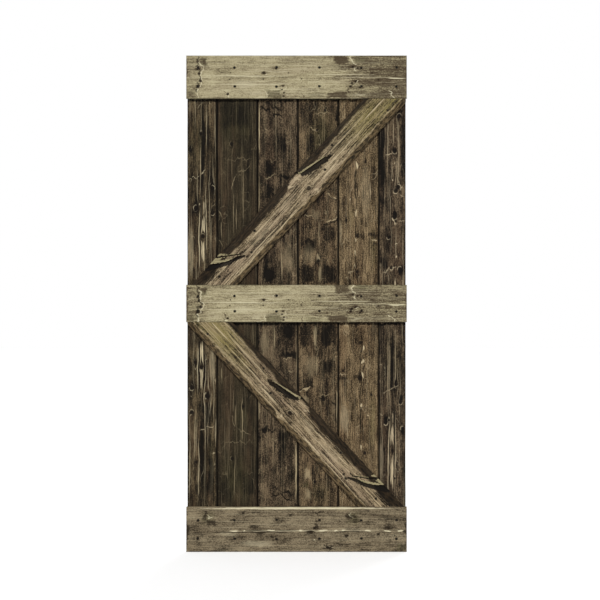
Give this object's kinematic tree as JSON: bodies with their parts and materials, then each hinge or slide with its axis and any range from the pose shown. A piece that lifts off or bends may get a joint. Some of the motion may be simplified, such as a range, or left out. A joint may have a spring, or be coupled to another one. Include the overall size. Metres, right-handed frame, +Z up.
{
  "type": "sliding barn door",
  "caption": "Plank door slab with cross rails and a K brace, made to hang from a sliding track.",
  "frame": {"origin": "bottom centre of the door's bounding box", "axes": "+X to the right seen from the front, +Y through the door away from the viewer, +Z up"},
  "size_m": [0.948, 0.035, 2.134],
  "materials": {
    "plank_stain": "dark brown stain on brushed knotty pine, satin",
    "plank_stain_light": "dark brown stain, worn lighter, satin",
    "rail_stain": "thin grey-olive stain on planed knotty pine, satin",
    "brace_stain": "grey-brown stain on rough-hewn pine with waney edges, matt",
    "black_screw": "black phosphate, satin"
  },
  "bodies": {
    "root": {"plank_1": "plank_stain", "plank_2": "plank_stain", "plank_3": "plank_stain", "plank_4": "plank_stain", "plank_5": "plank_stain_light", "plank_6": "plank_stain", "top_rail": "rail_stain", "middle_rail": "rail_stain", "bottom_rail": "rail_stain", "upper_brace": "brace_stain", "lower_brace": "brace_stain", "top_rail_screws": "black_screw", "middle_rail_screws": "black_screw", "bottom_rail_screws": "black_screw", "upper_brace_screws": "black_screw", "lower_brace_screws": "black_screw"}
  },
  "joints": []
}
